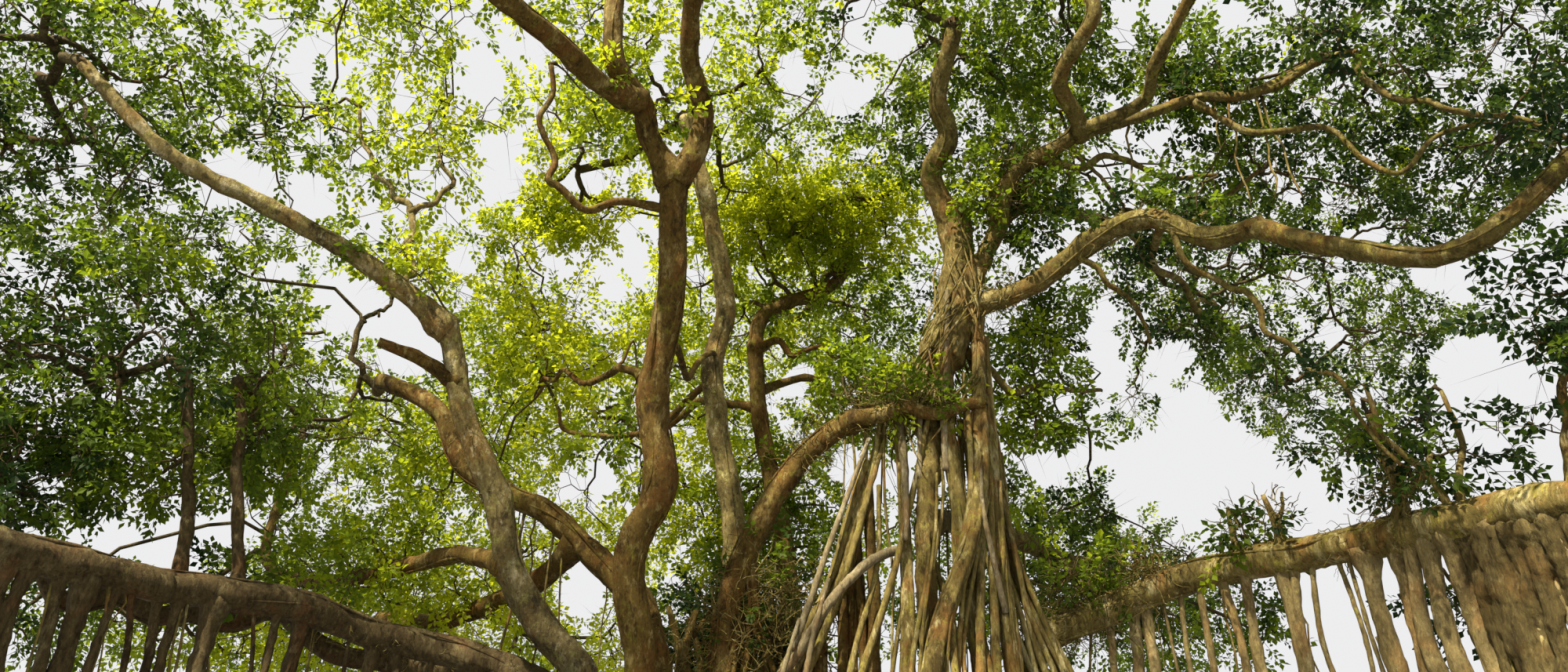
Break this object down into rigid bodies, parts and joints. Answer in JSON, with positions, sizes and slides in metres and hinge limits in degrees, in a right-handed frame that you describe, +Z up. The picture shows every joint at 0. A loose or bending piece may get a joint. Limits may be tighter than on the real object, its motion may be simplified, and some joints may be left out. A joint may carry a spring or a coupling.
{
  "type": "banyan tree",
  "caption": "Spreading banyan with a root-wrapped trunk, leaning stems, low boughs on pillar roots and a broad crown of leaf masses.",
  "frame": {"origin": "middle of the flat cut at ground level under the trunk's foot", "axes": "+Z up, the front of the tree towards -Y, the short stump on the -X side and the root-wrapped trunk on the +X side"},
  "size_m": [34.1689, 24.2832, 17.7893],
  "materials": {
    "bark": "rough grey-brown bark with ochre and lichen patches",
    "root_bark": "paler, smoother bark of hanging roots",
    "leafage": "thin green leaves that glow yellow-green against the light"
  },
  "bodies": {
    "root": {"trunk": "bark", "centre_stem": "bark", "centre_stem_left_limb": "bark", "centre_stem_front_limb": "bark", "centre_stem_right_limb": "bark", "rear_stem": "bark", "back_stem": "bark", "left_stem": "bark", "left_stem_long_limb": "bark", "left_stem_stub": "bark", "crossing_bough": "bark", "drooping_bough": "bark", "level_bough": "bark", "arching_bough": "bark", "upper_left_limb": "bark", "upper_right_limb": "bark", "upper_right_arm": "bark", "long_right_arm": "bark", "rear_right_bough": "bark", "right_bough": "bark", "right_bough_outer": "bark", "rear_low_bough": "bark", "low_left_bough": "bark", "low_left_bough_outer": "bark", "low_right_bough": "bark", "low_right_bough_outer": "bark", "left_shoot": "bark", "right_shoot": "bark", "slanting_root": "root_bark", "left_root": "root_bark", "front_root": "root_bark", "crossing_root": "root_bark", "right_root": "root_bark", "outer_right_root": "root_bark", "low_left_pillar_1": "root_bark", "low_left_pillar_2": "root_bark", "low_left_pillar_3": "root_bark", "low_left_outer_pillar_1": "root_bark", "low_right_pillar_1": "root_bark", "low_right_pillar_2": "root_bark", "low_right_pillar_3": "root_bark", "low_right_outer_pillar_1": "root_bark", "low_right_outer_pillar_2": "root_bark", "low_right_outer_pillar_3": "root_bark", "crown_top": "leafage", "crown_top_left": "leafage", "crown_front": "leafage", "crown_front_left": "leafage", "crown_front_right": "leafage", "crown_right": "leafage", "crown_left": "leafage", "crown_far_right": "leafage", "crown_far_left": "leafage", "crown_back_left": "leafage", "crown_back": "leafage", "crown_back_right": "leafage", "rear_skirt_left": "leafage", "rear_skirt_right": "leafage", "left_shoot_crown": "leafage", "right_shoot_crown": "leafage"}
  },
  "joints": []
}
